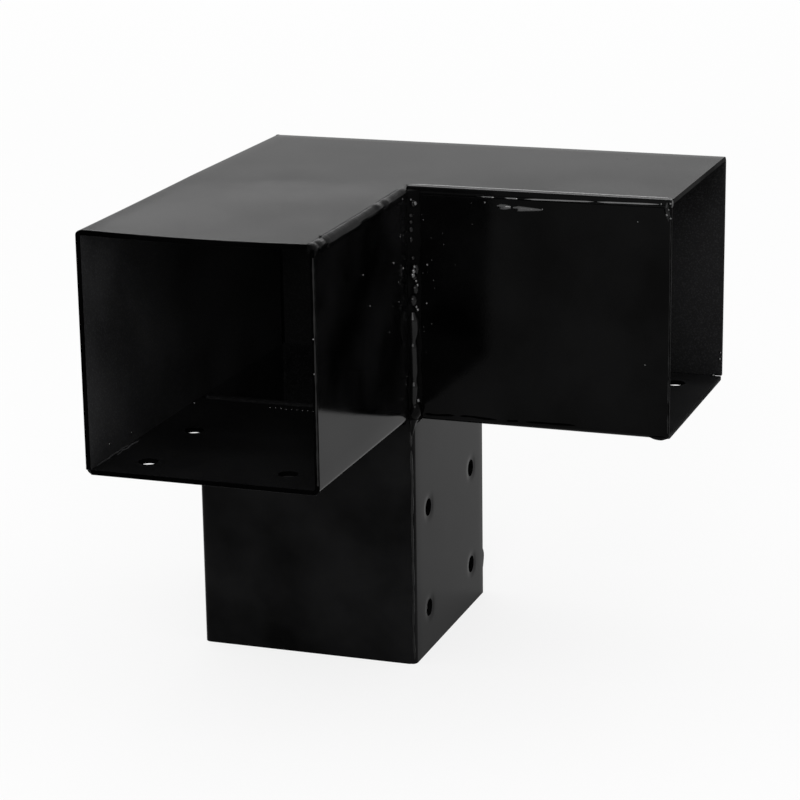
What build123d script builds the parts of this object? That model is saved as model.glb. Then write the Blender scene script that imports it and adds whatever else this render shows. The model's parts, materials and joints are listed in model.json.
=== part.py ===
from build123d import *
import os

"""Three way corner connector for square timber: two level beam sockets over one post sleeve.

Four pieces of sheet steel, welded together and powder coated.
Frame: millimetres, +Z up, origin on the post's axis at the open lower end of the sleeve.
Arm A runs along -Y and arm B along +X; the hidden outside corner is at -X, +Y.
"""

# ---- driving dimensions --------------------------------------------------------------------
timber_width = 89.0        # planed side of the nominal 4 x 4 inch timber
width_clearance = 3.0      # room across the timber, both sides together
height_clearance = 4.0     # room over and under a beam, together
sheet = 2.0                # thickness of every sheet
bend_inside_radius = 1.0
arm_reach = 107.0          # from the sleeve's face to a beam socket's mouth
sleeve_reach = 107.0       # from the sleeve's open end to the underside of the arms

screw_hole_diameter = 7.5
screw_spread = 58.0        # hole to hole across a socket
screw_pitch = 44.5         # hole to hole along a socket
arm_screw_end_distance = 16.0     # first pair to a beam socket's mouth
sleeve_screw_end_distance = 19.0  # first pair to the sleeve's open end

floor_weld_leg = 2.0       # seams along the outer lower edges
fillet_leg = 2.8           # fillet welds under the arms and up the inside corner
butt_bead_radius = 1.3     # beads on the flush joints outside
root_bead_radius = 1.6     # beads on the joints inside the sockets
corner_lump_radius = 4.2   # weld metal gathered where the inside corner meets the sleeve
bead_stop_short = 3.0      # arm B's lower seam ends this far inside the mouth

# ---- derived sizes -------------------------------------------------------------------------
width = timber_width + width_clearance + 2 * sheet
height = timber_width + height_clearance + 2 * sheet
bend_radius = bend_inside_radius + sheet
half = width / 2
half_bore = half - sheet
mouth = half + arm_reach                 # distance of each beam mouth from the post's axis
arm_underside = sleeve_reach
arm_floor = arm_underside + sheet        # upper face of the floors, flush with the sleeve's upper end
top = arm_underside + height
setback = half - bend_radius             # where flat sheet ends beside a bend or a filled corner
wall_top = top - bend_radius
arm_screws_middle = arm_screw_end_distance + screw_pitch / 2
sleeve_screws_middle = sleeve_screw_end_distance + screw_pitch / 2
wall_seam = wall_top - arm_floor
sleeve_seam = 2 * setback
root_seam = sleeve_seam - 2 * root_bead_radius

right, left = (1, 0, 0), (-1, 0, 0)
back, front = (0, 1, 0), (0, -1, 0)
up, down = (0, 0, 1), (0, 0, -1)


# ---- folded sheet --------------------------------------------------------------------------
def folded_section(corners, inside):
    """Closed section of a sheet whose outer face runs through the corners, each one bent."""
    outer_face = FilletPolyline(*corners, radius=bend_radius)
    return make_face(offset(outer_face, amount=sheet, side=inside))


def along_y(section, start, end):
    """Section drawn in X and Z, extruded from y = start down to y = end."""
    return extrude(Plane.XZ.offset(-start) * section, amount=start - end)


def along_x(section, start, end):
    """Section drawn in Y and Z, extruded from x = start up to x = end."""
    return extrude(Plane.YZ.offset(start) * section, amount=end - start)


def screw_holes(centre, across, along):
    """Four cutting cylinders, square to the two directions, centred on the pattern's middle."""
    plane = Plane(origin=centre, x_dir=across, z_dir=Vector(across).cross(Vector(along)))
    drill = Cylinder(screw_hole_diameter / 2, 2 * width)
    return [plane * spot * drill for spot in GridLocations(screw_spread, screw_pitch, 2, 2)]


def top_shell():
    """L-shaped top plate with both outer walls folded down from it."""
    left_fold = [(-half, arm_floor), (-half, top), (setback, top)]
    back_fold = [(half, arm_floor), (half, top), (-setback, top)]
    left_side = along_y(folded_section(left_fold, Side.RIGHT), setback, -mouth)
    return left_side + along_x(folded_section(back_fold, Side.LEFT), -setback, mouth)


def arm_a_angle():
    """Arm A's floor and inner wall; the wall runs on over the sleeve's edge to back arm B's wall."""
    corners = [(-half_bore, arm_underside), (half, arm_underside), (half, wall_top)]
    angle = along_y(folded_section(corners, Side.LEFT), -half_bore, -mouth)
    angle -= Pos(0, -half_bore, arm_underside) * Box(2 * width, 2 * sheet, 2 * sheet)
    return angle - screw_holes((0, arm_screws_middle - mouth, arm_underside), right, back)


def arm_b_angle():
    """Arm B's floor and front wall, butted against the sleeve and against arm A's wall."""
    corners = [(half_bore, arm_underside), (-half, arm_underside), (-half, wall_top)]
    angle = along_x(folded_section(corners, Side.RIGHT), half, mouth)
    return angle - screw_holes((mouth - arm_screws_middle, 0, arm_underside), back, right)


def post_sleeve():
    """Square sleeve for the post, drilled through both of its X sides."""
    outline = RectangleRounded(width, width, bend_radius)
    bore = RectangleRounded(2 * half_bore, 2 * half_bore, bend_inside_radius)
    sleeve = extrude(outline - bore, amount=arm_floor)
    return sleeve - screw_holes((0, 0, sleeve_screws_middle), back, up)


# ---- weld beads ----------------------------------------------------------------------------
def rod(radius, length, sweep, domed):
    """Round rod standing on the origin, all of it or a sector, its upper end square or domed."""
    solid = Cylinder(radius, length, arc_size=sweep, align=Align.NONE)
    if domed:
        solid += Pos(0, 0, length) * Sphere(radius, 0, 90, sweep, align=Align.NONE)
    return solid


def bead(start, along, first_side, length, radius, sweep=90, root=0.0, domed=False):
    """Weld bead about a seam, from first_side through sweep degrees, hollow out to root."""
    solid = rod(radius, length, sweep, domed)
    if root:
        solid -= rod(root, length, sweep, domed)
    return Plane(origin=start, x_dir=first_side, z_dir=along) * solid


def filled_corner(start, along, first_side, length, domed=False):
    """Weld metal in place of a bend, where two sheets stop short of the corner between them."""
    return bead(start, along, first_side, length, bend_radius, root=bend_inside_radius, domed=domed)


def top_welds():
    """Filled corners along the top plate's two inner edges."""
    arm_a = filled_corner((setback, -setback, wall_top), front, right, mouth - setback)
    arm_b = filled_corner((half_bore, -setback, wall_top), right, up, mouth - half_bore)
    return {"arm_a_top_weld": arm_a, "arm_b_top_weld": arm_b - arm_a}


def outer_corner_weld():
    """Filled corner where the two folded outer walls meet, domed over to run into both bends."""
    return filled_corner((-setback, setback, arm_floor), up, back, wall_seam, domed=True)


def floor_welds():
    """Corner seams between each arm's floor and its outer wall."""
    arm_b_run = arm_reach - bead_stop_short
    return {
        "arm_a_floor_weld": bead((-half_bore, -half, arm_floor), front, left, arm_reach, floor_weld_leg),
        "arm_b_floor_weld": bead((half, half_bore, arm_floor), right, down, arm_b_run, floor_weld_leg),
    }


def sleeve_fillets():
    """Fillets between the sleeve and the underside of both arms."""
    return {
        "sleeve_front_weld": bead((-setback, -half, arm_underside), right, front, sleeve_seam, fillet_leg),
        "sleeve_right_weld": bead((half, -setback, arm_underside), back, right, sleeve_seam, fillet_leg),
    }


def flush_joint_welds():
    """Half-round beads over the sleeve's upper edge, under the outer walls and inside at the floors."""
    outside = butt_bead_radius, 180
    inside = root_bead_radius, 180
    return {
        "sleeve_left_weld": bead((-half, setback, arm_floor), front, up, sleeve_seam, *outside),
        "sleeve_back_weld": bead((setback, half, arm_floor), left, up, sleeve_seam, *outside),
        "arm_a_root_weld": bead((root_seam / 2, -half, arm_floor), left, front, root_seam, *inside),
        "arm_b_root_weld": bead((half, root_seam / 2, arm_floor), front, right, root_seam, *inside),
    }


def inner_corner_weld(neighbours):
    """Fillet up the inside corner between the arms, and the lump where it meets the sleeve."""
    run = bead((half, -half, arm_floor), up, front, wall_seam, fillet_leg, domed=True)
    lump = Pos(half, -half, (arm_underside + arm_floor) / 2) * Sphere(corner_lump_radius)
    outward = Axis((0, 0, 0), (1, -1, 0))
    return (run + lump - neighbours).solids().sort_by(outward)[-1]


# ---- build ---------------------------------------------------------------------------------
os.makedirs("parts", exist_ok=True)
sheets = {
    "top_shell": top_shell(),
    "arm_a_angle": arm_a_angle(),
    "arm_b_angle": arm_b_angle(),
    "post_sleeve": post_sleeve(),
}
welds = {
    "outer_corner_weld": outer_corner_weld(),
    **top_welds(),
    **floor_welds(),
    **sleeve_fillets(),
    **flush_joint_welds(),
}
meeting = ("arm_a_top_weld", "arm_b_top_weld", "sleeve_front_weld", "sleeve_right_weld")
beside_corner = [*sheets.values(), *(welds[name] for name in meeting)]
welds["inner_corner_weld"] = inner_corner_weld(beside_corner)
for name, shape in {**sheets, **welds}.items():
    export_step(shape, f"parts/{name}.step")
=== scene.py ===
import json

import bpy
import numpy as np
from mathutils import Matrix, Vector


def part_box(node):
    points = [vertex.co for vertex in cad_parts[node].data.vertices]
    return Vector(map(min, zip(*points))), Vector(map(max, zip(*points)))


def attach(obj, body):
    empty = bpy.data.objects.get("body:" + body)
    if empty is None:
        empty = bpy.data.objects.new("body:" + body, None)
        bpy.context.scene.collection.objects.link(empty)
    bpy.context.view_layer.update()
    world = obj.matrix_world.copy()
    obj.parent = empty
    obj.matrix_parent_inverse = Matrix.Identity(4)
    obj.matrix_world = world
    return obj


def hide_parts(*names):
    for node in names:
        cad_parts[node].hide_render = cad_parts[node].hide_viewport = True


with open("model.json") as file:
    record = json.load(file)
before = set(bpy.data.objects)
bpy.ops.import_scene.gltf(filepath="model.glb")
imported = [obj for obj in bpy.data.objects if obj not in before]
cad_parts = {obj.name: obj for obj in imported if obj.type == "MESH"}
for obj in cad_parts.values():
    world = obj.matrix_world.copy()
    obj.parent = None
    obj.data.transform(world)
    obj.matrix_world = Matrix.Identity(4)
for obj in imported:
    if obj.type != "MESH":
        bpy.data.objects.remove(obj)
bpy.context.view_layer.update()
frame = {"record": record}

# ---- sizes, in metres, read from the frame ---------------------------------------------------
mm = 0.001
shell_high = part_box("top_shell")[1]
sleeve_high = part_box("post_sleeve")[1]
angle_low, angle_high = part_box("arm_a_angle")

half = sleeve_high.x               # half the width of a socket outside
mouth = shell_high.x               # from the post's axis to a beam socket's mouth
top = shell_high.z
arm_floor = sleeve_high.z          # upper face of the floors
arm_underside = angle_low.z
sheet = arm_floor - arm_underside  # thickness of every sheet
bend = top - angle_high.z          # outside radius of every bend
setback = half - bend              # where the flat of a sheet ends
half_bore = half - sheet
wall_top = top - bend

mounts = {mount["name"]: mount for mount in frame["record"]["mounts"]}
arm_screws = mounts["arm_a_screws"]
sleeve_screws = mounts["post_screws_right"]
hole_radius = arm_screws["dims"]["hole_r_mm"] * mm
screw_spread = arm_screws["dims"]["spacing_x_mm"] * mm
screw_pitch = arm_screws["dims"]["spacing_y_mm"] * mm
arm_pattern_middle = -arm_screws["pos_m"][1]
sleeve_pattern_middle = sleeve_screws["pos_m"][2]


# ---- pieces ----------------------------------------------------------------------------------
def add_piece(name, points, faces, material, *nodes):
    """Object with the given points and faces, in place of the named CAD nodes, moving with the bracket."""
    mesh = bpy.data.meshes.new(name)
    mesh.from_pydata(points.tolist(), [], faces)
    mesh.update()
    mesh.polygons.foreach_set("use_smooth", np.ones(len(mesh.polygons), bool))
    mesh.materials.append(material)
    piece = bpy.data.objects.new(name, mesh)
    bpy.context.scene.collection.objects.link(piece)
    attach(piece, "root")
    if nodes:
        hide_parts(*nodes)
    return piece


def sway(distance, seed, longest):
    """Slow uneven wave between about -1 and 1: three sines whose lengths have no common measure."""
    waves = [(1.0, 0.5), (0.618, 0.3), (0.271, 0.2)]     # each sine's length and its share of the whole
    first_turn = 1.7
    return sum(
        share * np.sin(2 * np.pi * distance / (longest * size) + seed * (number + first_turn))
        for number, (size, share) in enumerate(waves)
    )


# ---- folded sheet ----------------------------------------------------------------------------
sheet_step = 6 * mm         # mesh size on the flats
bend_steps = 8              # divisions of a bend
edge_round = 0.45 * mm      # radius left on cut edges by the coating
edge_round_steps = 3
edge_turn = np.radians(50)  # a sharper turn than this is a cut edge
decimals_kept = 6           # points that agree to a thousandth of a millimetre are one
hole_sink = 0.22 * mm       # depth to which the drill pulls the sheet in round a hole
hole_sink_width = 1.7 * mm
hole_margin = 6.5 * mm      # half side of the square patch around a screw hole
hole_clearance = 0.5 * mm   # least room between that patch and the next grid line
hole_side_steps = 8         # divisions of one side of that patch
hole_rings = 4
root_radius = 1.6 * mm      # beads inside the sockets
wall_dish = 0.5 * mm        # how far the welds draw an arm's inner wall in
seam_steps = 16             # divisions of the sleeve's corners, fine enough for their seams
seam_row = 1.5 * mm         # mesh size down the sleeve
seam_lumps = [              # height above the sleeve's end, rise and spread of each lump on a seam
    (28 * mm, 0.5 * mm, 1.6 * mm),
    (61 * mm, 0.2 * mm, 3 * mm),
    (86.7 * mm, 0.3 * mm, 1.2 * mm),
    (97 * mm, 0.35 * mm, 4 * mm),
]


def bent_line(corners, closed=False, steps=bend_steps):
    """Points along a line through the corners, each turned by a quarter circle of the bend radius."""
    no_turn = 1e-12
    corners = np.array(corners, float)
    count = len(corners)
    line = []
    for i, corner in enumerate(corners):
        before, after = corners[i - 1] - corner, corners[(i + 1) % count] - corner
        straight_on = abs(before[0] * after[1] - before[1] * after[0]) < no_turn
        if straight_on or (not closed and i in (0, count - 1)):
            line.append(corner[None])
            continue
        before, after = before / np.linalg.norm(before), after / np.linalg.norm(after)
        angle = np.linspace(0, np.pi / 2, steps + 1)[:, None]
        line.append(corner + bend * ((1 - np.sin(angle)) * before + (1 - np.cos(angle)) * after))
    line = np.concatenate(line + ([line[0][:1]] if closed else []))
    runs = np.linalg.norm(np.diff(line, axis=0), axis=1)
    parts = np.maximum(1, np.round(runs / sheet_step)).astype(int)
    filled = [a + (b - a) * np.arange(n)[:, None] / n for a, b, n in zip(line, line[1:], parts)]
    return np.concatenate(filled + [line[-1:]])


def lengths_along(line):
    """Distance of each point of a line from its start."""
    return np.concatenate([[0], np.cumsum(np.linalg.norm(np.diff(line, axis=0), axis=1))])


def with_hole_lines(lines, centres):
    """Grid lines with those near each hole's centre replaced by the even divisions of the hole's patch."""
    for centre in centres:
        lines = lines[abs(lines - centre) > hole_margin + hole_clearance]
        patch = np.linspace(centre - hole_margin, centre + hole_margin, hole_side_steps + 1)
        lines = np.sort(np.concatenate([lines, patch]))
    return lines


def square_round(centre):
    """Points round a hole's square patch, in order, as many on each side."""
    side = np.linspace(-hole_margin, hole_margin, hole_side_steps + 1)[:-1]
    edge = np.full_like(side, hole_margin)
    loops = [(side, -edge), (edge, side), (-side, edge), (-edge, -side)]
    return centre + np.concatenate([np.stack(pair, axis=1) for pair in loops])


def flat_pattern(u_lines, v_lines, keep, holes):
    """Grid of quads over the unfolded sheet, where keep says so, with a ring of quads round each hole."""
    u, v = np.meshgrid(u_lines, v_lines, indexing="ij")
    middle_u = (u[:-1, :-1] + u[1:, 1:]) / 2
    middle_v = (v[:-1, :-1] + v[1:, 1:]) / 2
    kept = keep(middle_u, middle_v)
    for hole_u, hole_v in holes:
        kept &= np.maximum(abs(middle_u - hole_u), abs(middle_v - hole_v)) > hole_margin
    number = np.arange(u.size).reshape(u.shape)
    cells = [number[:-1, :-1], number[1:, :-1], number[1:, 1:], number[:-1, 1:]]
    quads = [np.stack([corner[kept] for corner in cells], axis=1)]
    points = [np.stack([u.ravel(), v.ravel()], axis=1)]
    for hole in holes:
        outer = square_round(np.array(hole))
        rim = hole + hole_radius * (outer - hole) / np.linalg.norm(outer - hole, axis=1)[:, None]
        share = np.linspace(0, 1, hole_rings + 1)[:, None, None]
        first = sum(map(len, points))
        ring = first + np.arange((hole_rings + 1) * len(outer)).reshape(hole_rings + 1, -1)
        onward = np.roll(ring, -1, axis=1)
        loops = [ring[1:], onward[1:], onward[:-1], ring[:-1]]
        quads.append(np.stack([corner.ravel() for corner in loops], axis=1))
        points.append((rim + share * (outer - rim)).reshape(-1, 2))
    points, quads = np.concatenate(points), np.concatenate(quads)
    used, quads = np.unique(quads, return_inverse=True)
    return points[used], quads.reshape(-1, 4)


def pulled_in(u, v, holes):
    """Depth of the sheet's dip at each hole: a bell over the distance from the hole's rim."""
    depth = np.zeros_like(u)
    for hole_u, hole_v in holes:
        from_rim = np.hypot(u - hole_u, v - hole_v) - hole_radius
        depth += hole_sink * np.exp(-((from_rim / hole_sink_width) ** 2))
    return depth


def dished(share_along, share_across, depth):
    """Depth of a wall drawn in by its welds: half a sine wave along it times half a sine wave across it."""
    along, across = np.clip(share_along, 0, 1), np.clip(share_across, 0, 1)
    return depth * np.sin(np.pi * along) * np.sin(np.pi * across)


def sagging(share_along, depth):
    """Sag that sets in from the corner and is full at the mouth: a quarter of a sine wave along the arm."""
    return depth * np.sin(np.pi / 2 * np.clip(share_along, 0, 1))


def plate_sag(x):
    """Sag of the top plate at arm A's mouth: a least depth and part of a cosine wave across the arm."""
    least, extra, middle, width = 0.4 * mm, 1.2 * mm, 3 * mm, 124 * mm
    return least + extra * np.cos(np.pi * (x - middle) / width)


def folded_sheet(name, node, fold, u_lines, v_lines, keep, holes, coats):
    """Sheet bent by fold from its flat pattern: outer face first, then its thickness, then soft edges.

    The coats are those of the outer face, of the inner face and of the cut ends.
    """
    flat, quads = flat_pattern(u_lines, v_lines, keep, holes)
    points = fold(flat[:, 0], flat[:, 1])
    _, first, same = np.unique(
        np.round(points, decimals_kept), axis=0, return_index=True, return_inverse=True
    )
    piece = add_piece(name, points[first], same.ravel()[quads].tolist(), coats[0], node)
    for coat in coats[1:]:
        piece.data.materials.append(coat)
    wall = piece.modifiers.new("thickness", "SOLIDIFY")
    wall.material_offset = 1
    wall.material_offset_rim = 2
    wall.thickness = sheet
    wall.offset = -1
    wall.use_even_offset = True
    wall.use_quality_normals = True
    soft = piece.modifiers.new("soft edges", "BEVEL")
    soft.width = edge_round
    soft.segments = edge_round_steps
    soft.limit_method = "ANGLE"
    soft.angle_limit = edge_turn
    soft.harden_normals = True


def everywhere(u, v):
    """Keeps the whole of a flat pattern."""
    return np.ones_like(u, bool)


def past_sleeve_or_wall(height, distance):
    """Keeps arm A's angle out of the sleeve's edge: its floor stops at the sleeve and its wall runs on."""
    return (distance > half) | (height > arm_floor)


def top_shell(coats):
    """L-shaped top plate and both outer walls: height falls along a bend in X and along another in Y.

    The welds have left the plate slightly wavy: each swelling is a round bell added to the height. Over
    arm A it sags towards the mouth, most near the middle of the arm.
    """
    swellings = [    # middle in X and in Y, width, rise
        (46 * mm, -44 * mm, 9 * mm, -0.22 * mm),
        (90 * mm, -5 * mm, 45 * mm, 0.25 * mm),
    ]
    side = bent_line([(-half, arm_floor), (-half, top), (setback, top), (mouth, top)])
    rear = bent_line([(-mouth, top), (-setback, top), (half, top), (half, arm_floor)])
    u_lines, v_lines = lengths_along(side), lengths_along(rear)

    def fold(u, v):
        """Height as the sum of both bends' drops, less the sag, with the swellings."""
        x, drop_x = (np.interp(u, u_lines, side[:, i]) for i in (0, 1))
        y, drop_y = (np.interp(v, v_lines, rear[:, i]) for i in (0, 1))
        height = drop_x + drop_y - top
        inside = np.clip((height - wall_top) / bend, 0, 1)
        height = height - inside * sagging((-half - y) / (mouth - half), np.where(y < -half, plate_sag(x), 0))
        for middle_x, middle_y, width, rise in swellings:
            spread = np.exp(-((x - middle_x) ** 2 + (y - middle_y) ** 2) / width ** 2)
            height = height + rise * spread * inside
        return np.stack([x, y, height], axis=1)

    def keep(u, v):
        """Keeps the L of the plate and the walls below its outer edges."""
        x, y = np.interp(u, u_lines, side[:, 0]), np.interp(v, v_lines, rear[:, 0])
        notch = (x > setback) & (y < -setback)
        outer_corner = (x < -setback) & (y > setback)
        return ~(notch | outer_corner)

    folded_sheet("top_shell_coated", "top_shell", fold, u_lines, v_lines, keep, [], coats)


def arm_angle(name, node, sense, start, keep, coats):
    """Floor and wall of an arm: a section with one bend, carried along the arm and drilled through the floor.

    The distance along the arm is v times sense. Arm B, of sense -1, runs along X with its section in Y
    and Z; arm A, of sense 1, is the same reflected in the diagonal between them.
    """
    section = bent_line([(half_bore, arm_underside), (-half, arm_underside), (-half, wall_top)])
    u_lines = lengths_along(section)
    along_arm = np.linspace(half, mouth, round((mouth - half) / sheet_step) + 1)
    v_lines = np.unique(sense * np.concatenate([[start], along_arm]))
    across = [half_bore - screw_spread / 2, half_bore + screw_spread / 2]
    along = [sense * (arm_pattern_middle + side * screw_pitch / 2) for side in (-1, 1)]
    holes = [(u, v) for u in across for v in along]

    def fold(u, v):
        """Section at u, dished on the wall and pulled in at the holes, carried the distance v."""
        side = np.interp(u, u_lines, section[:, 0])
        height = np.interp(u, u_lines, section[:, 1])
        on_wall = (height - arm_floor) / (wall_top - arm_floor)
        side = side + dished((sense * v - half) / (mouth - half), on_wall, wall_dish)
        height = height + pulled_in(u, v, holes)
        if sense > 0:
            return np.stack([-side, -v, height], axis=1)
        return np.stack([-v, side, height], axis=1)

    def kept(u, v):
        """What keep says of the height at u and the distance along the arm at v."""
        return keep(np.interp(u, u_lines, section[:, 1]), sense * v)

    u_grid, v_grid = with_hole_lines(u_lines, across), with_hole_lines(v_lines, along)
    folded_sheet(name, node, fold, u_grid, v_grid, kept, holes, coats)


def post_sleeve(coats):
    """Square tube: a rounded square carried down the post, drilled through its two X sides.

    Two opposite corners are welded seams: there the surface is pushed along its own outward direction by
    a narrow wandering groove, a shallow shoulder beside it and a few lumps.
    """
    groove_place, groove_wander = 1.3 * mm, 0.3 * mm     # from the middle of the bend
    groove_depth, groove_width = 0.3 * mm, 0.7 * mm
    shoulder_place, shoulder_rise, shoulder_width = 1.4 * mm, 0.1 * mm, 0.6 * mm
    lump_width = 1.3 * mm
    corners = [(0, half), (half, half), (half, -half), (-half, -half), (-half, half)]
    ring = bent_line(corners, closed=True, steps=seam_steps)
    u_lines = lengths_along(ring)
    around = u_lines[-1]
    v_lines = np.linspace(-arm_floor, 0, round(arm_floor / seam_row) + 1)
    middles = [around / 4, 3 * around / 4]
    across = [middle + side * screw_spread / 2 for middle in middles for side in (-1, 1)]
    along = [side * screw_pitch / 2 - sleeve_pattern_middle for side in (-1, 1)]
    u_grid, v_grid = with_hole_lines(u_lines, across), with_hole_lines(v_lines, along)
    holes = [(u, v) for u in across for v in along]
    towards = np.gradient(ring, u_lines, axis=0)
    outward = np.stack([-towards[:, 1], towards[:, 0]], axis=1)

    def seam(u, v, middle, seed):
        """Push outwards from one seam: bells over the distance beside it, swaying along it."""
        beside = u - middle - groove_place - groove_wander * sway(v, seed, 47 * mm)
        groove = np.exp(-((beside / groove_width) ** 2)) * (1 + 0.45 * sway(v, seed + 1, 19 * mm))
        shoulder = np.exp(-(((beside + shoulder_place) / shoulder_width) ** 2))
        shoulder = shoulder * (1 + sway(v, seed + 2, 9 * mm))
        push = shoulder_rise * shoulder - groove_depth * groove
        for height, rise, spread in seam_lumps:
            push = push + rise * np.exp(-(((v + height) / spread) ** 2) - (beside / lump_width) ** 2)
        return push

    def fold(u, v):
        """Ring at u, pushed along its outward direction by both seams and the holes, at height -v."""
        push = seam(u, v, 3 * around / 8, 1.0) + seam(u, v, 7 * around / 8, 6.0) - pulled_in(u, v, holes)
        x, y = (np.interp(u, u_lines, ring[:, i]) for i in (0, 1))
        out_x, out_y = (push * np.interp(u, u_lines, outward[:, i]) for i in (0, 1))
        return np.stack([x + out_x, y + out_y, -v], axis=1)

    folded_sheet("post_sleeve_coated", "post_sleeve", fold, u_grid, v_grid, everywhere, holes, coats)


# ---- weld beads ------------------------------------------------------------------------------
right, left = Vector((1, 0, 0)), Vector((-1, 0, 0))
back, front = Vector((0, 1, 0)), Vector((0, -1, 0))
up, down = Vector((0, 0, 1)), Vector((0, 0, -1))

bead_row = 0.4 * mm                        # mesh size along a bead
through_root = (1 / 3, 0, 0)               # how a bead's back is closed: its section scaled, then sunk
buried_root = (0.2, 0.7 * mm, 0.7 * mm)
face_root = (0.5, 0, 0.4 * mm)


def round_section(radius, sweep=90, flatness=0.3, steps=16):
    """Section of a bead from its first direction to its second: a round flattened towards the chord."""
    angle = np.radians(sweep) * np.linspace(0, 1, steps + 1)
    away = np.stack([np.cos(angle), np.sin(angle)], axis=1)
    if sweep == 90:
        return radius * away * ((np.cos(angle) + np.sin(angle)) ** -flatness)[:, None]
    return radius * away * (1 - 0.25 * flatness * np.sin(angle))[:, None]


def seam_section(corners, step=0.16 * mm):
    """Section of a bead that follows the given corners, with points spread evenly along it."""
    corners = np.array(corners)
    lengths = lengths_along(corners)
    even = np.linspace(0, lengths[-1], round(lengths[-1] / step) + 1)
    return np.stack([np.interp(even, lengths, corners[:, i]) for i in (0, 1)], axis=1)


def tube_faces(rows, columns):
    """Faces of a tube whose points come ring after ring: quads between rings, and one face over each end."""
    number = np.arange(rows * columns).reshape(rows, columns)
    onward = np.roll(number, -1, axis=1)
    quads = np.stack([number[:-1], onward[:-1], onward[1:], number[1:]], axis=2).reshape(-1, 4).tolist()
    return quads + [number[0, ::-1].tolist(), number[-1].tolist()]


def weld_bead(name, node, start, along, first, second, length, section, material, *, root=through_root,
              ripple=0.06 * mm, pitch=2.6 * mm, wander=0.08, lumps=(), ends=(0.8 * mm, 0.8 * mm), seed=1.0,
              sag=0.0):
    """Bead skin: distance from the seam as a function of the way along it and of the way round its section.

    The section's own distance is multiplied by a slow sway. Crescent ripples that lag behind in the middle
    and fade at the toes are added, and a bell for each lump: its place, height and length along the bead,
    then its place and width across it.
    """
    fewest_rows = 12
    near_an_end = np.array([0.0, 0.12, 0.35, 0.65])    # extra rows, as shares of the fading length
    ridge_power, ridge_middle = 0.8, 0.65
    least_swell = 0.02
    rows = max(fewest_rows, round(length / bead_row))
    s = np.concatenate([np.linspace(0, length, rows), near_an_end * ends[0], length - near_an_end * ends[1]])
    s = np.unique(s)[:, None]
    share = np.linspace(0, 1, len(section))[None, :]
    reach = np.linalg.norm(section, axis=1)
    away = section / reach[:, None]
    toe = np.sin(np.pi * share)
    drift, lag = 0.7 * mm * sway(s, seed, 31 * mm), 0.9 * mm * toe
    ridges = np.abs(np.sin(np.pi * (s + drift - lag) / pitch)) ** ridge_power - ridge_middle
    tilt = 0.4 * wander * sway(s, seed + 3, 7 * mm) * (2 * share - 1)
    slow = wander * sway(s, seed, 23 * mm) + tilt
    uneven = 1 + 0.8 * sway(s, seed + 1, 17 * mm)
    skin = reach * (1 + slow) + ripple * ridges * toe * uneven
    for place, height, spread, across, width in lumps:
        skin = skin + height * np.exp(-(((s - place) / spread) ** 2) - ((share - across) / width) ** 2)
    for distance, fade in ((s, ends[0]), (length - s, ends[1])):
        if fade:
            rounding = 1 - (1 - np.clip(distance / fade, 0, 1)) ** 2
            skin = skin * np.sqrt(np.clip(rounding, least_swell, 1))
    first, second, along, start = (np.array(vector) for vector in (first, second, along, start))
    out = away[:, :1] * first + away[:, 1:] * second
    middle = start + s[..., None] * along - sagging(s / length, sag)[..., None] * np.array(up)
    surface = middle + skin[..., None] * out
    closing = root[0] * section[::-2] - np.array(root[1:])
    behind = middle + closing[:, :1] * first + closing[:, 1:] * second
    surface = np.concatenate([surface, behind], axis=1)
    add_piece(name, surface.reshape(-1, 3), tube_faces(*surface.shape[:2]), material, node)


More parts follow.
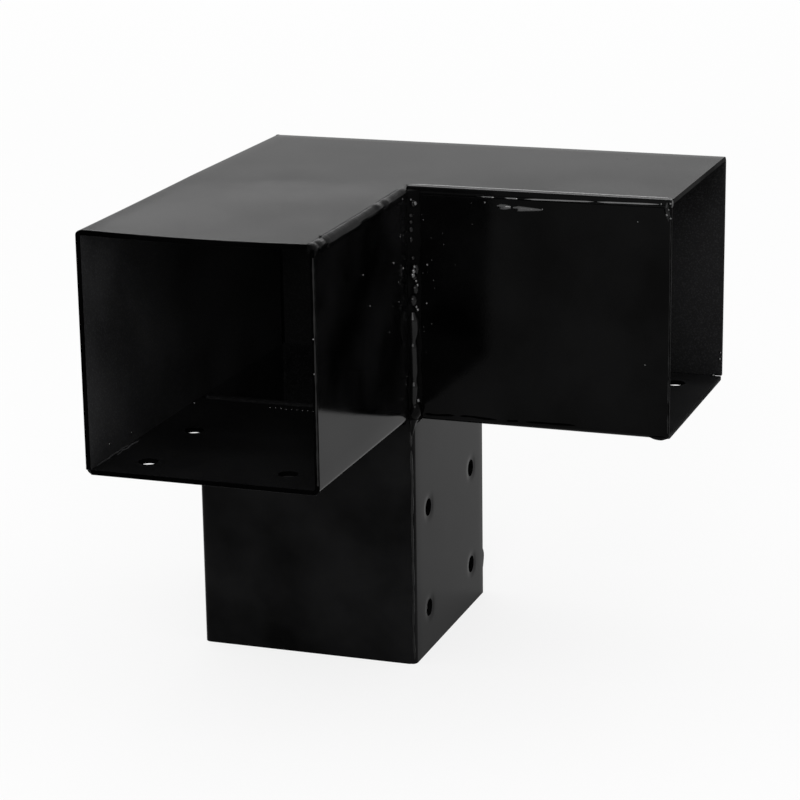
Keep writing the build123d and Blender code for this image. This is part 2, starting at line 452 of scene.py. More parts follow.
def all_welds(material, rough, dull, dusty):
    """Every seam of the bracket: where it starts, which way it runs, its section and how rough it is."""
    stop_short = 3 * mm           # arm B's lower seam ends this far inside the mouth
    below, over = 2 * mm, 4 * mm  # the inside corner's bead starts below the floor and runs over its seam
    seam = wall_top - arm_floor
    arm = mouth - setback
    under = 2 * setback
    run = under - 2 * root_radius
    corner = round_section(bend, flatness=0.05)
    chamfer = seam_section([
        (2.95 * mm, 0), (2.78 * mm, 0.9 * mm), (2.5 * mm, 1.6 * mm), (2.0 * mm, 2.3 * mm),
        (1.2 * mm, 2.88 * mm), (0.3 * mm, 3.2 * mm), (-0.6 * mm, 3.3 * mm), (-1.1 * mm, 3.05 * mm),
        (-1.3 * mm, 2.8 * mm),
    ])
    fillet = round_section(2.8 * mm, flatness=0.45)
    thin_fillet = round_section(2 * mm, flatness=0.45)
    butt = round_section(1.3 * mm, sweep=180)
    inside = round_section(root_radius, sweep=180)
    wide_fillet = round_section(4.3 * mm, flatness=0.85, steps=28)
    lap = seam_section([
        (bend, 0), (bend, 2.35 * mm), (2.93 * mm, 2.6 * mm), (2.75 * mm, 2.75 * mm), (2.5 * mm, 2.8 * mm),
        (1.0 * mm, 2.78 * mm), (0.88 * mm, 2.86 * mm), (0.8 * mm, 3.16 * mm), (0.62 * mm, 3.22 * mm),
        (0.3 * mm, 3.08 * mm), (0, 3.02 * mm),
    ])
    weld_bead(
        "arm_a_top_weld_bead", "arm_a_top_weld", (setback, -setback, wall_top), front, up, right, arm,
        chamfer, rough, ripple=0.03 * mm, wander=0.012, seed=2.0, ends=(0.8 * mm, 0.5 * mm), sag=1.0 * mm,
        lumps=[
            (arm - 2.5 * mm, 0.3 * mm, 1.6 * mm, 0.55, 0.35),
            (arm - 8 * mm, 0.35 * mm, 3.0 * mm, 0.5, 0.35),
            (arm - 13 * mm, -0.45 * mm, 1.2 * mm, 0.85, 0.35), (38 * mm, 0.3 * mm, 3 * mm, 0.3, 0.3),
            (33 * mm, -0.4 * mm, 1.5 * mm, 0.8, 0.35), (28 * mm, 0.3 * mm, 2.5 * mm, 0.5, 0.4),
            (8 * mm, 0.3 * mm, 4 * mm, 0.5, 0.4), (70 * mm, 0.3 * mm, 9 * mm, 0.9, 0.3),
            (56 * mm, -0.25 * mm, 4 * mm, 0.9, 0.3), (90 * mm, 0.2 * mm, 7 * mm, 0.9, 0.3),
        ],
    )
    weld_bead(
        "arm_b_top_weld_bead", "arm_b_top_weld", (half_bore, -setback, wall_top), right, up, front,
        mouth - half_bore, lap, material, ripple=0.0, wander=0.008, seed=4.0, ends=(0.8 * mm, 0.2 * mm),
        root=(0.3, 0, 0), lumps=[(30 * mm, 0.25 * mm, 1.2 * mm, 0.9, 0.1)],
    )
    weld_bead(
        "outer_corner_weld_bead", "outer_corner_weld", (-setback, setback, arm_floor), up, left, back,
        seam + bend, corner, material, seed=5.0, ends=(0.8 * mm, bend),
    )
    arm_b_run = mouth - half - stop_short
    plain_beads = [    # node, start, way along, first and second direction, length, section, root, seed
        ("arm_a_floor_weld", (-half_bore, -half, arm_floor), front, down, left, mouth - half,
         thin_fillet, through_root, 6.0),
        ("arm_b_floor_weld", (half, half_bore, arm_floor), right, back, down, arm_b_run,
         thin_fillet, through_root, 7.0),
        ("sleeve_front_weld", (-setback, -half, arm_underside), right, down, front, under,
         fillet, buried_root, 8.0),
        ("sleeve_right_weld", (half, -setback, arm_underside), back, down, right, under,
         fillet, buried_root, 9.0),
        ("sleeve_left_weld", (-half, setback, arm_floor), front, down, left, under, butt, face_root, 10.0),
        ("sleeve_back_weld", (setback, half, arm_floor), left, down, back, under, butt, face_root, 11.0),
    ]
    for node, start, along, first, second, length, section, root, seed in plain_beads:
        weld_bead(
            node + "_bead", node, start, along, first, second, length, section, material, root=root, seed=seed
        )
    root_beads = [
        ("arm_a_root_weld", (run / 2, -half, arm_floor), left, front, up, 12.0),
        ("arm_b_root_weld", (half, run / 2, arm_floor), front, left, up, 13.0),
    ]
    for node, start, along, first, second, seed in root_beads:
        weld_bead(
            node + "_bead", node, start, along, first, second, run, inside, dusty, root=face_root,
            seed=seed, ripple=0.15 * mm, pitch=4 * mm,
        )
    weld_bead(
        "inner_corner_weld_bead", "inner_corner_weld", (half, -half, arm_floor - below), up, front, right,
        seam + over, wide_fillet, dull, root=buried_root, seed=14.0, ripple=0.03 * mm, pitch=5.3 * mm,
        wander=0.1,
    )


# ---- lumps, drips and spatter ----------------------------------------------------------------
def swollen_line(name, centres, radii, first, second, material, rows=40, sides=16):
    """Drip or lump: rings of changing radius round a line, both as smooth curves over the way along it."""
    smoothings = 3
    centres, radii = np.array(centres, float), np.array(radii, float)
    knots = np.linspace(0, 1, len(centres))
    t = (1 - np.cos(np.pi * np.linspace(0, 1, rows))) / 2
    line = np.stack([np.interp(t, knots, centres[:, i]) for i in range(3)], axis=1)
    radius = np.interp(t, knots, radii)
    for _ in range(smoothings):
        radius[1:-1] = (radius[:-2] + 2 * radius[1:-1] + radius[2:]) / 4
        line[1:-1] = (line[:-2] + 2 * line[1:-1] + line[2:]) / 4
    turn = 2 * np.pi * np.arange(sides) / sides
    rim = np.cos(turn)[:, None] * np.array(first) + np.sin(turn)[:, None] * np.array(second)
    points = line[:, None] + radius[:, None, None] * rim
    add_piece(name, points.reshape(-1, 3), tube_faces(rows, sides), material)


def drops(name, places, radii, material, rings=7, sides=10):
    """Many small drops in one mesh: one grid of latitude and longitude, stretched and set at each place."""
    places, radii = np.array(places, float), np.array(radii, float)
    if radii.ndim == 1:
        radii = np.repeat(radii[:, None], 3, axis=1)
    latitude = np.pi * np.arange(1, rings) / rings
    longitude = 2 * np.pi * np.arange(sides) / sides
    level, turn = np.meshgrid(latitude, longitude, indexing="ij")
    belt = np.stack([np.sin(level) * np.cos(turn), np.sin(level) * np.sin(turn), np.cos(level)], axis=-1)
    ball = np.concatenate([[[0, 0, 1]], belt.reshape(-1, 3), [[0, 0, -1]]])
    number = 1 + np.arange((rings - 1) * sides).reshape(rings - 1, sides)
    onward = np.roll(number, -1, axis=1)
    last = len(ball) - 1
    belts = np.stack([number[:-1], number[1:], onward[1:], onward[:-1]], axis=2).reshape(-1, 4)
    caps = [
        np.stack([np.zeros(sides, int), number[0], onward[0]], axis=1),
        np.stack([np.full(sides, last), onward[-1], number[-1]], axis=1),
    ]
    shift = len(ball) * np.arange(len(places))[:, None, None]
    faces = (shift + belts).reshape(-1, 4).tolist()
    for cap in caps:
        faces += (shift + cap).reshape(-1, 3).tolist()
    points = places[:, None] + radii[:, None] * ball
    add_piece(name, points.reshape(-1, 3), faces, material)


def in_corner(out, aside, height):
    """Places on the inside corner's weld: how far out of the corner, how far towards arm B, how high."""
    return np.stack(np.broadcast_arrays(half + out + aside, -half - out + aside, height), axis=-1)


def corner_lump(material):
    """Weld metal gathered where the inside corner meets the sleeve, with a neck down the sleeve's corner."""
    rings = [    # how far out of the corner, height and radius
        (1.4, 116.4, 0.3), (1.6, 114.8, 2.3), (1.6, 112.5, 3.1), (1.3, 110, 3.0), (0.6, 107.5, 2.0),
        (-0.2, 104.5, 1.1), (-0.9, 100, 0.5),
    ]
    out, height, radii = (np.array(column) * mm for column in zip(*rings))
    swollen_line("corner_lump", in_corner(out, 0, height), radii, back, right, material)


def corner_run(material):
    """Ridge along the inside corner's weld, where it was run slowly: pinched twice, thinning downwards."""
    rings = [    # height and radius
        (153.1, 1.1), (150, 2.5), (146, 2.6), (142.5, 2.0), (140.6, 1.2), (138.5, 2.1), (134, 1.9),
        (129, 2.1), (126, 1.8), (124.6, 1.2), (122, 2.2), (119, 2.0), (116, 1.5), (113, 0.9),
    ]
    heights, radii = (np.array(column) * mm for column in zip(*rings))
    centres = in_corner(2.15 * mm, -0.55 * mm + 0.2 * mm * sway(heights, 2.0, 19 * mm), heights)
    swollen_line("corner_run", centres, radii, back, right, material, rows=90)


def corner_chain(material):
    """Row of separate long drops up the upper part of the inside corner."""
    chain = [    # height, half length, half width and place aside of the middle
        (157.9, 2.6, 2.1, -0.55), (162.4, 2.3, 1.75, 0.15), (167.3, 1.3, 1.4, -0.1), (170.5, 2.2, 1.3, 0.6),
        (175.4, 1.1, 1.1, -0.5), (183.0, 1.4, 1.0, -1.0), (187.1, 1.4, 1.2, -1.0), (190.2, 1.0, 1.1, -1.0),
        (192.9, 1.0, 1.15, -1.0), (197.6, 1.6, 1.4, -0.2),
    ]
    height, length, width, aside = (np.array(column) * mm for column in zip(*chain))
    radii = np.stack([width, width, length], axis=1)
    drops("corner_chain", in_corner(2.25 * mm, aside, height), radii, material, rings=12, sides=16)


def all_spatter(wet):
    """Drops thrown off by the welding, thickest beside the inside corner, and the few larger ones.

    The fine ones thin out away from the corner as chance falls off, and downwards from the upper seam.
    """
    on_wall_a = [    # Y, height and radius
        (-57.7, 200.6, 0.55), (-68.9, 177.2, 0.5), (-57.6, 172.6, 0.55), (-104.1, 180.3, 0.35),
        (-96.9, 166.4, 0.35), (-60.5, 186.0, 0.3), (-63.0, 160.0, 0.3), (-75.0, 150.5, 0.3),
    ]
    on_wall_b = [    # X, height and radius
        (54.9, 172.3, 0.6), (54.5, 156.4, 0.5), (53.5, 190.6, 0.3), (79.3, 199.1, 0.5),
        (85.2, 197.6, 0.5), (141.6, 194.8, 0.35), (145.1, 137.4, 0.35), (57.5, 166.0, 0.3),
        (62.0, 181.0, 0.25), (56.5, 148.0, 0.3), (98.5, 197.3, 0.45), (103.0, 197.6, 0.4),
    ]
    on_top = [       # X, Y, height and radius
        (114.2, 0.0, 204, 0.35), (116.6, 0.6, 204, 0.3), (117.0, 29.8, 204, 0.35),
        (44.7, -140.0, 203.2, 0.6),
    ]
    on_corner = [    # place aside of the middle, height and radius
        (0.3, 116.2, 0.9), (0.1, 197.7, 1.0), (-1.2, 199.4, 0.5), (-0.7, 170.2, 1.25),
        (-0.4, 172.0, 0.9), (-0.9, 168.6, 1.3), (0.1, 166.0, 0.7), (0.5, 164.3, 0.75),
        (0.1, 155.3, 0.7), (0.5, 154.1, 0.8), (-0.4, 148.5, 0.6),
    ]
    places = [(half, y * mm, z * mm) for y, z, _ in on_wall_a]
    places += [(x * mm, -half, z * mm) for x, z, _ in on_wall_b]
    places += [(x * mm, y * mm, z * mm) for x, y, z, _ in on_top]
    places += [in_corner(3.0 * mm, aside * mm, z * mm) for aside, z, _ in on_corner]
    radii = [spot[-1] * mm for group in (on_wall_a, on_wall_b, on_top, on_corner) for spot in group]
    drops("weld_spatter", places, radii, wet)

    chance = np.random.default_rng(11)
    fine = 34
    usual_distance, least_distance = 7 * mm, 3 * mm
    from_mouth = 4 * mm
    smallest, largest = 0.12, 0.2
    height = arm_floor + (wall_top - arm_floor) * (1 - chance.beta(1.2, 1.8, fine))
    away = chance.exponential(usual_distance, fine) + least_distance
    side = chance.random(fine) < 0.5
    x = np.where(side, half, np.minimum(half + away, mouth - from_mouth))
    y = np.where(side, np.maximum(-half - away, from_mouth - mouth), -half)
    radii = chance.uniform(smallest, largest, fine) * mm
    drops("fine_spatter", np.stack([x, y, height], axis=1), radii, wet, rings=5, sides=8)

    mouth_b_corner = [    # X, Y, height and radius
        (150.9, -48.0, 202.3, 0.45), (154.4, -47.7, 202.6, 0.5), (153.3, -48.6, 198.3, 0.6),
        (154.6, -48.2, 196.9, 0.45), (153.9, -48.4, 200.3, 0.4),
    ]
    mouth_b_corner = np.array(mouth_b_corner) * mm
    drops("mouth_b_corner_drops", mouth_b_corner[:, :3], mouth_b_corner[:, 3], wet)


def paint_line(name, x, y, z, radii, across, upwards, material, thin_ends=None, **fineness):
    """Line of thick paint through the given places, each given as one value or as one for every place."""
    centres = np.stack(np.broadcast_arrays(x, y, z), axis=1)
    if thin_ends is not None:
        radii[[0, -1]] = thin_ends
    swollen_line(name, centres, radii, across, upwards, material, **fineness)


def mouth_a_beading(material):
    """Thick paint in an uneven line down the edge of arm A's inner wall at its mouth."""
    z = np.linspace(111 * mm, 198 * mm, 60)
    radii = 0.42 * mm * (1 + 0.3 * sway(z, 4.0, 17 * mm) + 0.25 * sway(z, 7.0, 6 * mm))
    x, y = half - 0.7 * mm, 0.25 * mm - mouth
    paint_line("mouth_a_edge_paint", x, y, z, radii, back, right, material, rows=220, sides=10)


def mouth_a_plate_paint(material):
    """Thin ridge of paint along the plate's edge at arm A's mouth, following the plate's sag."""
    x = np.linspace(2 * mm - half, setback - 1 * mm, 31)
    y, z = 0.5 * mm - mouth, top - plate_sag(x) - 0.12 * mm
    radii = 0.5 * mm * (1 + 0.2 * sway(x, 3.0, 31 * mm))
    paint_line(
        "mouth_a_plate_paint", x, y, z, radii, back, 0.4 * up, material,
        thin_ends=0.1 * mm, rows=110, sides=16,
    )


def mouth_b_beading(material):
    """Thick paint on the front edge of arm B's mouth: a blob under its top corner and a fine uneven line."""
    blob = [    # X, Y, height and radius
        (153.2, -47.9, 203.0, 0.4), (153.0, -47.9, 201, 1.0), (153.4, -48.0, 198.6, 1.1),
        (153.8, -47.8, 195.6, 0.2),
    ]
    blob = np.array(blob) * mm
    swollen_line("mouth_b_corner_blob", blob[:, :3], blob[:, 3], back, right, material, rows=24)
    z = np.linspace(110 * mm, 198 * mm, 60)
    radii = 0.2 * mm * (1 + 0.45 * sway(z, 2.0, 13 * mm) + 0.35 * sway(z, 5.0, 5 * mm))
    x, y = mouth - 0.45 * mm, 0.15 * mm - half
    paint_line("mouth_b_edge_paint", x, y, z, radii, back, right, material, rows=220, sides=8)


def paint_lines(material, edge, blob):
    """Thick paint held along arm B's upper seam, in broken lengths, and along the plate's edge above it.

    The seam runs level and then rises evenly towards the mouth.
    """
    rise_start, rise_length, slope = 95 * mm, 60 * mm, 0.016
    for number, (start, end) in enumerate([(77.7, 83.1), (87.5, 93.0), (95.7, 124.0), (125.2, 150.0)]):
        x = np.linspace(start, end, 9) * mm
        y, z = -half - 0.02 * mm, 201.3 * mm + slope * np.clip(x - rise_start, 0, rise_length)
        radii = 0.34 * mm * (1 + 0.2 * sway(x, number + 2.0, 11 * mm))
        paint_line(
            "seam_paint_%d" % (number + 1), x, y, z, radii, back, up, material,
            thin_ends=0.1 * mm, sides=10,
        )
    x = np.linspace(half - 1 * mm, mouth - 0.8 * mm, 25)
    y, z = 0.6 * mm - setback, top - 0.05 * mm
    radii = 1.0 * mm * (1 + 0.15 * sway(x, 4.0, 29 * mm))
    paint_line(
        "plate_edge_paint", x, y, z, radii, back, 0.25 * up, edge,
        thin_ends=0.3 * mm, rows=90, sides=32,
    )
    below = [    # places along the seam, and the radius at each
        ([84.4, 85.6, 88.0, 90.0], [0.8, 1.3, 1.3, 0.7]),
        ([91.0, 93.2, 96.0, 99.0, 104.8], [0.8, 1.4, 1.1, 0.8, 0.2]),
    ]
    for number, (along, sizes) in enumerate(below):
        x, radii = np.array(along) * mm, np.array(sizes) * mm
        y, z = 0.45 * mm - half, (197.7 - 0.4 * number) * mm
        paint_line("seam_blob_%d" % (number + 1), x, y, z, radii, back, up, blob)


def arm_b_crease_shade(material):
    """Painted shade: a thin, near-black and barely reflecting broken line where arm B's wall meets its lower
    bend, standing in for the shade in the crease near the corner.
    """
    for number, (start, end) in enumerate([(53, 66), (68, 84), (88, 93), (96, 117)]):
        x = np.linspace(start, end, 9) * mm
        y, z = 0.1 * mm - half, 110.0 * mm + 0.35 * mm * sway(x, 5.0, 37 * mm)
        radii = 0.42 * mm * (1 + 0.3 * sway(x, number + 1.0, 9 * mm))
        paint_line(
            "arm_b_crease_%d" % (number + 1), x, y, z, radii, back, up, material,
            thin_ends=0.1 * mm, sides=10,
        )


def sleeve_corner_bead(material):
    """Thin raised bead down the sleeve's front corner seam, standing on the bend nearer its front face."""
    from_front, wander, sunk = np.radians(41), 0.09, 0.12 * mm
    z = np.linspace(2 * mm, 103 * mm, 70)
    radii = 0.5 * mm * (1 + 0.35 * sway(z, 3.0, 16 * mm) + 0.25 * sway(z, 8.0, 6 * mm))
    around = from_front + wander * sway(z, 5.0, 41 * mm)
    out = bend - sunk
    x, y = setback + out * np.sin(around), -setback - out * np.cos(around)
    paint_line(
        "sleeve_corner_bead", x, y, z, radii, right, back, material,
        thin_ends=0.2 * mm, rows=260, sides=12,
    )


def inside_drops(dust, wet):
    """Light line along the corner of arm A's floor, partly dust and partly painted glints of the weld there,
    and drops before the post and at the mouths' edges.
    """
    for number, (mouth_end, far_end, side) in enumerate([(-151, -121, 0.4), (-134, -113, 1.3)]):
        y = np.linspace(mouth_end, far_end, 12) * mm
        from_wall = side * mm + 0.35 * mm * sway(y, number + 3.0, 9 * mm)
        radii = 0.3 * mm * (1 + 0.6 * sway(y, number + 6.0, 5 * mm))
        z = arm_floor + 0.5 * mm - 0.3 * from_wall
        # the light line's coat is partly dust, partly painted glints of the corner's weld
        paint_line(
            "floor_corner_line_%d" % (number + 1), from_wall - half_bore, y, z, radii, right, up, dust,
            thin_ends=0.05 * mm, rows=90, sides=8,
        )
    x = np.linspace(-12, 7, 9) * mm
    y = -54.5 * mm + 0.4 * mm * sway(x, 2.0, 7 * mm)
    row = np.stack(np.broadcast_arrays(x, y, arm_floor, 0.5 * mm), axis=1)
    single = [    # place and radius
        (-half_bore, -137.6 * mm, 114.4 * mm, 0.5 * mm), (-half_bore, -117 * mm, 113.2 * mm, 0.45 * mm),
        (1 * mm - half_bore, -57 * mm, arm_floor, 0.8 * mm),
        (46.8 * mm, -mouth, 167.5 * mm, 0.45 * mm), (46.8 * mm, -mouth, 154.2 * mm, 0.4 * mm),
        (151.5 * mm, half_bore, arm_floor, 0.9 * mm), (154.2 * mm, half_bore, 116.5 * mm, 0.6 * mm),
        (154.4 * mm, half_bore, 119.3 * mm, 0.5 * mm),
    ]
    spots = np.concatenate([row, single])
    drops("inside_drops", spots[:, :3], spots[:, 3], wet)


def all_drips(material):
    """Paint and weld metal that ran or gathered at lower edges and at the sleeve's back corner."""
    low = 0.9 - half / mm
    drips = [    # name, mesh rows, directions of the rings, then places and radii from end to end
        ("arm_b_edge_lump", 24, back, up, [
            (146.5, low, 108.0, 0.2), (149, low, 107.5, 0.7), (152, low, 107.4, 0.85),
            (154.6, low, 107.9, 0.3),
        ]),
        ("sleeve_back_corner_lump", 24, right, back, [
            (46.9, 47.0, 8, 0.2), (46.9, 47.2, 13, 0.8), (46.9, 47.3, 18, 1.1), (46.9, 46.9, 22, 0.2),
        ]),
        ("sleeve_edge_drip", 20, right, up, [
            (47.4, 2.6, 1.0, 0.2), (47.5, 4.0, 0.6, 0.6), (47.5, 5.2, 0.7, 0.6), (47.4, 6.5, 1.0, 0.2),
        ]),
    ]
    for name, rows, first, second, rings in drips:
        rings = np.array(rings) * mm
        swollen_line(name, rings[:, :3], rings[:, 3], first, second, material, rows=rows)


# ---- finishes --------------------------------------------------------------------------------
cloud_scale, cloud_detail = 26, 5       # slow changes, a few centimetres across
cloud_ends = (0.35, 0.65)
grain_scale, grain_detail = 1900, 2     # grain of the sprayed skin
dust_ends = (0.5, 0.72)
gloss_change = 0.2
cool_black = np.array([1, 1, 1.04])
dust_colour = (0.12, 0.12, 0.125, 1)


def noise(tree, place, scale, detail):
    """Even cloudy noise in the object's own coordinates."""
    node = tree.nodes.new("ShaderNodeTexNoise")
    node.inputs["Scale"].default_value = scale
    node.inputs["Detail"].default_value = detail
    tree.links.new(place.outputs["Object"], node.inputs["Vector"])
    return node.outputs["Fac"]


def mapped(tree, value, start, end, at_start=0.0, at_end=1.0):
    """Value carried evenly from one pair of ends to another, and held level past them."""
    node = tree.nodes.new("ShaderNodeMapRange")
    node.inputs["From Min"].default_value = start
    node.inputs["From Max"].default_value = end
    node.inputs["To Min"].default_value = at_start
    node.inputs["To Max"].default_value = at_end
    tree.links.new(value, node.inputs["Value"])
    return node.outputs["Result"]


def colour_mix(tree, share):
    """Mix node for colours, with its share linked."""
    node = tree.nodes.new("ShaderNodeMix")
    node.data_type = "RGBA"
    tree.links.new(share, node.inputs["Factor"])
    return node


def painted_depth_shade(tree, place, colour, least):
    """Painted shade: colour that is whole at arm A's mouth and darkens evenly along Y, to the least share at
    the corner, as the light falls off deeper in the socket.
    """
    apart = tree.nodes.new("ShaderNodeSeparateXYZ")
    tree.links.new(place.outputs["Object"], apart.inputs["Vector"])
    shaded = tree.nodes.new("ShaderNodeVectorMath")
    shaded.operation = "SCALE"
    tree.links.new(colour, shaded.inputs[0])
    tree.links.new(mapped(tree, apart.outputs["Y"], -mouth, -half, 1, least), shaded.inputs["Scale"])
    return shaded.outputs["Vector"]


def coat(name, base, roughness, ior, *, blotches=0.5, skin_height=0.01 * mm, speckle=0.0, painted_shade_deep_in=1.0):
    """Black powder coat: a fine skin, slow changes of gloss and depth, and dust-fine light specks inside.

    Where the share for deep in the socket is under 1, the coat darkens from arm A's mouth inwards, down to
    that share: painted shade for the light that falls off deeper inside.
    """
    material = bpy.data.materials.new(name)
    material.use_nodes = True
    tree = material.node_tree
    nodes, links = tree.nodes, tree.links
    shader = nodes["Principled BSDF"]
    shader.inputs["IOR"].default_value = ior
    place = nodes.new("ShaderNodeTexCoord")
    cloud = mapped(tree, noise(tree, place, cloud_scale, cloud_detail), *cloud_ends)
    grain = noise(tree, place, grain_scale, grain_detail)
    gloss = mapped(tree, cloud, 0, 1, (1 - gloss_change) * roughness, (1 + gloss_change) * roughness)
    tint = colour_mix(tree, cloud)
    tint.inputs["A"].default_value = (*((1 - blotches) * base * cool_black), 1)
    tint.inputs["B"].default_value = (*((1 + blotches) * base * cool_black), 1)
    dusty = colour_mix(tree, mapped(tree, grain, *dust_ends, 0, speckle))
    dusty.inputs["B"].default_value = dust_colour
    links.new(tint.outputs["Result"], dusty.inputs["A"])
    colour = dusty.outputs["Result"]
    # painted shade: the colour darkens deeper inside the socket
    if painted_shade_deep_in < 1:
        colour = painted_depth_shade(tree, place, colour, painted_shade_deep_in)
    bump = nodes.new("ShaderNodeBump")
    bump.inputs["Strength"].default_value = 1
    bump.inputs["Distance"].default_value = skin_height
    links.new(grain, bump.inputs["Height"])
    links.new(gloss, shader.inputs["Roughness"])
    links.new(colour, shader.inputs["Base Color"])
    links.new(bump.outputs["Normal"], shader.inputs["Normal"])
    return material


# ---- studio ----------------------------------------------------------------------------------
def math_node(tree, operation, first, second=0.0):
    """Output of a Math node, each of whose inputs is a number or another node's output."""
    node = tree.nodes.new("ShaderNodeMath")
    node.operation = operation
    for socket, value in zip(node.inputs, (first, second)):
        if isinstance(value, (int, float)):
            socket.default_value = value
        else:
            tree.links.new(value, socket)
    return node.outputs["Value"]


def seen_directly(tree, to_camera=1.0, mirrored=1.0):
    """One share for rays from the camera, another for mirrored or refracted ones, 0 for the rest."""
    rays = tree.nodes.new("ShaderNodeLightPath")
    shares = {"Is Camera Ray": to_camera, "Is Glossy Ray": mirrored, "Is Transmission Ray": mirrored}
    largest = 0.0
    for ray, share in shares.items():
        part = math_node(tree, "MULTIPLY", rays.outputs[ray], share)
        largest = math_node(tree, "MAXIMUM", part, largest)
    return largest


def outside_square(tree, reach):
    """1 outside a level square round the post's axis, where |X| or |Y| is past the reach, and 0 inside it."""
    place = tree.nodes.new("ShaderNodeTexCoord")
    apart = tree.nodes.new("ShaderNodeSeparateXYZ")
    tree.links.new(place.outputs["Object"], apart.inputs["Vector"])
    distances = [math_node(tree, "ABSOLUTE", apart.outputs[axis]) for axis in ("X", "Y")]
    return math_node(tree, "GREATER_THAN", math_node(tree, "MAXIMUM", *distances), reach)


def mixed(tree, share, first, second, end):
    """Shader mixed from two by a share, linked to the end of the tree."""
    mix = tree.nodes.new("ShaderNodeMixShader")
    tree.links.new(share, mix.inputs["Fac"])
    tree.links.new(first, mix.inputs[1])
    tree.links.new(second, mix.inputs[2])
    tree.links.new(mix.outputs["Shader"], tree.nodes[end].inputs["Surface"])


def surroundings():
    """White seen directly; a little less than white as a light, and less again in reflections."""
    as_light = 0.9
    in_reflections = 0.8
    world = bpy.data.worlds.new("white surroundings")
    bpy.context.scene.world = world
    world.use_nodes = True
    tree = world.node_tree
    plain = tree.nodes["Background"]
    white = tree.nodes.new("ShaderNodeBackground")
    for background in (plain, white):
        background.inputs["Color"].default_value = (1, 1, 1, 1)
    plain.inputs["Strength"].default_value = as_light
    tree.links.new(seen_directly(tree, 1.0, in_reflections), white.inputs["Strength"])
    light, seen = plain.outputs["Background"], white.outputs["Background"]
    mixed(tree, seen_directly(tree), light, seen, "World Output")


def paper_floor():
    """Pale floor that keeps a light shadow: dull paper, most of whose brightness is plain white to the eye.

    Under the post it is paper alone, because there it is seen only through the sleeve's holes.
    """
    reach = 12
    whiteness = 0.78
    mirrored_whiteness = 0.1
    paper_tone = 0.95
    mesh = bpy.data.meshes.new("floor")
    corners = [(-reach, -reach, 0), (reach, -reach, 0), (reach, reach, 0), (-reach, reach, 0)]
    mesh.from_pydata(corners, [], [(0, 1, 2, 3)])
    floor = bpy.data.objects.new("floor", mesh)
    bpy.context.scene.collection.objects.link(floor)
    paper = bpy.data.materials.new("white paper")
    paper.use_nodes = True
    tree = paper.node_tree
    dull = tree.nodes["Principled BSDF"]
    dull.inputs["Base Color"].default_value = (paper_tone, paper_tone, paper_tone, 1)
    dull.inputs["Roughness"].default_value = 1
    dull.inputs["Specular IOR Level"].default_value = 0
    white = tree.nodes.new("ShaderNodeEmission")
    white.inputs["Strength"].default_value = 1
    seen = seen_directly(tree, whiteness, mirrored_whiteness)
    share = math_node(tree, "MULTIPLY", seen, outside_square(tree, half_bore + sheet / 2))
    mixed(tree, share, dull.outputs["BSDF"], white.outputs["Emission"], "Material Output")
    mesh.materials.append(paper)


def lamp(name, place, width, height, watts):
    """Soft rectangular lamp, aimed at the middle of the bracket."""
    middle = Vector((0, 0, 0.15))
    light = bpy.data.lights.new(name, "AREA")
    light.shape = "RECTANGLE"
    light.size = width
    light.size_y = height
    light.energy = watts
    fitting = bpy.data.objects.new(name, light)
    fitting.visible_camera = False
    bpy.context.scene.collection.objects.link(fitting)
    fitting.location = place
    fitting.rotation_euler = (middle - Vector(place)).to_track_quat("-Z", "Y").to_euler()


def camera():
    """Long lens a metre and a bit away, a little above, turned towards the left arm's mouth."""
    view = bpy.data.cameras.new("camera")
    view.lens = 123.78
    view.sensor_width = 36
    eye = bpy.data.objects.new("camera", view)
    bpy.context.scene.collection.objects.link(eye)
    place = Matrix.Translation((0.40074, -1.06749, 0.42046))
    turns = [(19.358, "Z"), (-15.790, "X"), (0.823, "Y"), (90, "X")]    # heading, tilt, lean, level
    turn, tilt, lean, level = (Matrix.Rotation(np.radians(angle), 4, axis) for angle, axis in turns)
    eye.matrix_world = place @ turn @ tilt @ lean @ level
    bpy.context.scene.camera = eye


bpy.context.scene.view_settings.view_transform = "Standard"
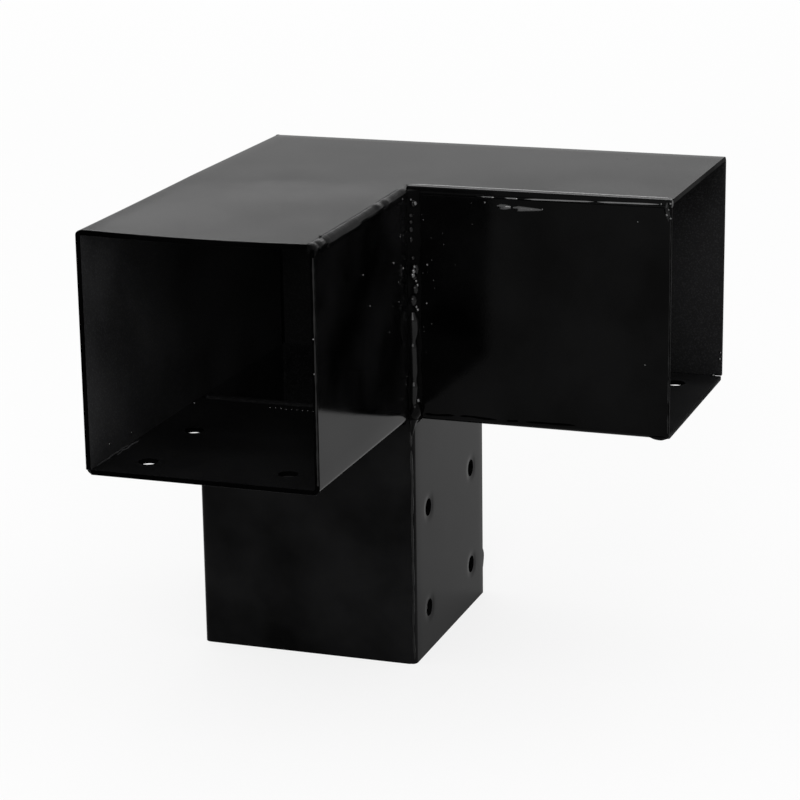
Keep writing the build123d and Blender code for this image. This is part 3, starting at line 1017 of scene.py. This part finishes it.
# each coat: its name, how light its black is, its roughness and its index of refraction
outside = coat("black powder coat", 0.0011, 0.09, 1.12, blotches=0.9)
# the sleeve's copy of the black coat is over three times as light and reflects less: painted light for the
# sleeve's brighter front and darker sides
sleeve_lit_coat = coat("black powder coat on the sleeve, lighter as painted light", 0.0036, 0.1, 1.097, blotches=0.7)
# arm A's copy of the black coat is twice as light: painted light for the lighter reflection on arm A's wall
arm_a_lit_coat = coat("black powder coat on arm A, lighter as painted light", 0.0023, 0.09, 1.12, blotches=0.9)
plate = coat("black powder coat on the top", 0.0014, 0.13, 1.093, blotches=0.9)
# the shell's inside coat is over three times as light as the angles': painted light on the walls lit through
# the mouths, with painted shade deeper in
shell_inside_lit_and_shaded = coat("dusty coat inside the shell", 0.018, 0.5, 1.14, blotches=0.3, speckle=0.22, painted_shade_deep_in=0.52)
# lighter coat for the line in arm A's floor corner: partly dust, partly painted glints of the weld
dust_and_glint_coat = coat("dust and painted glint in a corner", 0.03, 0.6, 1.2, blotches=0.8, speckle=0.5)
angle_inside = coat("dusty coat inside the angles", 0.0055, 0.5, 1.12, blotches=0.3, speckle=0.12)
cut_end = coat("thin coat on cut ends", 0.0005, 0.4, 1.035, blotches=0.5)
weld_coat = coat("black powder coat on welds", 0.0014, 0.12, 1.13, blotches=0.9, skin_height=0.02 * mm)
rough_coat = coat("rough coat on arm A's upper weld", 0.0014, 0.2, 1.105, blotches=0.9, skin_height=0.03 * mm)
dull_coat = coat("dull coat in the inside corner", 0.001, 0.3, 1.075, blotches=0.9, skin_height=0.02 * mm)
lump_coat = coat("gloss coat on lumps", 0.002, 0.12, 1.27, blotches=0.5)
wet_coat = coat("gloss coat on drops", 0.004, 0.05, 1.9, blotches=0.5, skin_height=0.004 * mm)
# near-black coat that barely reflects: painted shade in arm B's lower crease
painted_shade_crease_coat = coat("near-black coat as painted shade in creases", 0.0003, 0.3, 1.02, blotches=0.5)
blob_coat = coat("gloss coat on blobs", 0.004, 0.25, 1.7, blotches=0.5)
bright_line = coat("gloss coat along seams", 0.004, 0.1, 2.3, blotches=0.3, skin_height=0.004 * mm)
edge_coat = coat("gloss coat along the plate's edge", 0.003, 0.12, 2.0, blotches=0.3, skin_height=0.004 * mm)
top_shell((plate, shell_inside_lit_and_shaded, cut_end))
arm_a_coats = (arm_a_lit_coat, angle_inside, cut_end)
arm_b_coats = (outside, shell_inside_lit_and_shaded, cut_end)
arm_angle("arm_a_angle_coated", "arm_a_angle", 1, half_bore, past_sleeve_or_wall, arm_a_coats)
arm_angle("arm_b_angle_coated", "arm_b_angle", -1, half, everywhere, arm_b_coats)
post_sleeve((sleeve_lit_coat, angle_inside, lump_coat))
all_welds(weld_coat, rough_coat, dull_coat, angle_inside)
corner_lump(weld_coat)
corner_run(lump_coat)
corner_chain(lump_coat)
all_drips(weld_coat)
sleeve_corner_bead(lump_coat)
arm_b_crease_shade(painted_shade_crease_coat)
inside_drops(dust_and_glint_coat, wet_coat)
all_spatter(wet_coat)
mouth_a_beading(lump_coat)
mouth_a_plate_paint(lump_coat)
mouth_b_beading(lump_coat)
paint_lines(bright_line, edge_coat, blob_coat)
surroundings()
paper_floor()
lamp("soft lamp", place=(0.5, -1.7, 0.95), width=0.7, height=0.7, watts=10)
lamp("low strip lamp behind", place=(-1.0, 2.76, 1.12), width=2.4, height=0.22, watts=4)
camera()
